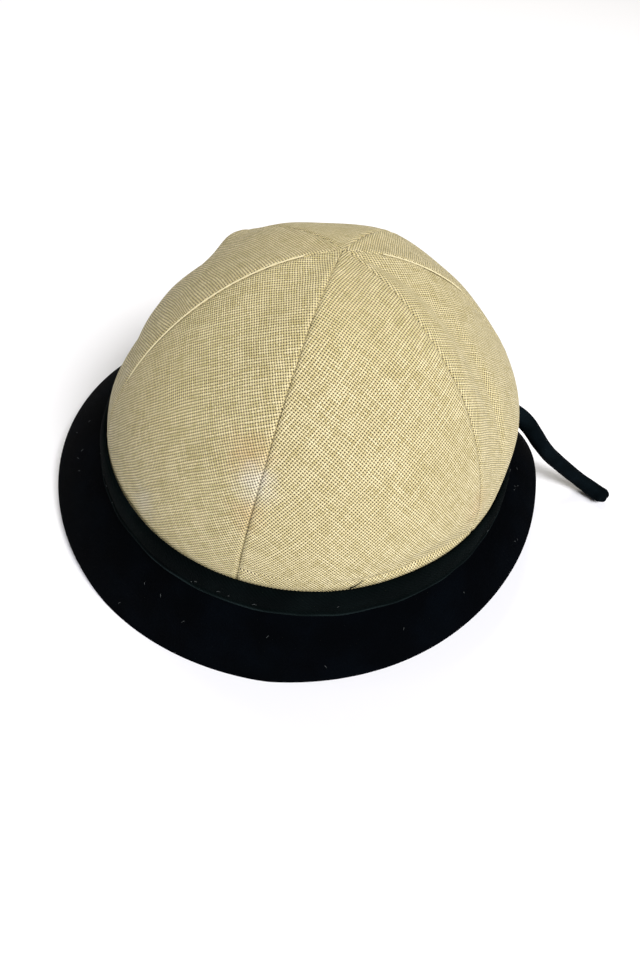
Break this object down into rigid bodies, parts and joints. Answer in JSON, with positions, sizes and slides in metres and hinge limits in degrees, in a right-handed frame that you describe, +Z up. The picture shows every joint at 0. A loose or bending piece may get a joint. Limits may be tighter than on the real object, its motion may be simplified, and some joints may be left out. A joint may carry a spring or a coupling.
{
  "type": "cloche hat",
  "caption": "Soft cloche-shaped summer hat with a gored straw-cloth dome crown, a narrow velvet band with a short free tail, and a narrow down-turned velvet brim.",
  "frame": {"origin": "on the surface that the hat rests on, under the middle of the hat's own box, with the free tail left out", "axes": "+Z up through the crown, -Y towards the front, +X towards the side that the free tail leaves from"},
  "size_m": [0.2599, 0.2285, 0.1252],
  "materials": {
    "straw_cloth": "plain woven straw cloth, matt with soft highlights",
    "band_velvet": "black velvet with a faint green cast",
    "brim_velvet": "black velvet with a faint blue cast"
  },
  "bodies": {
    "root": {"crown_gore_front_right": "straw_cloth", "crown_gore_right": "straw_cloth", "crown_gore_back_right": "straw_cloth", "crown_gore_back_left": "straw_cloth", "crown_gore_left": "straw_cloth", "crown_gore_front_left": "straw_cloth", "band": "band_velvet", "brim": "brim_velvet", "band_tail": "band_velvet"}
  },
  "joints": []
}
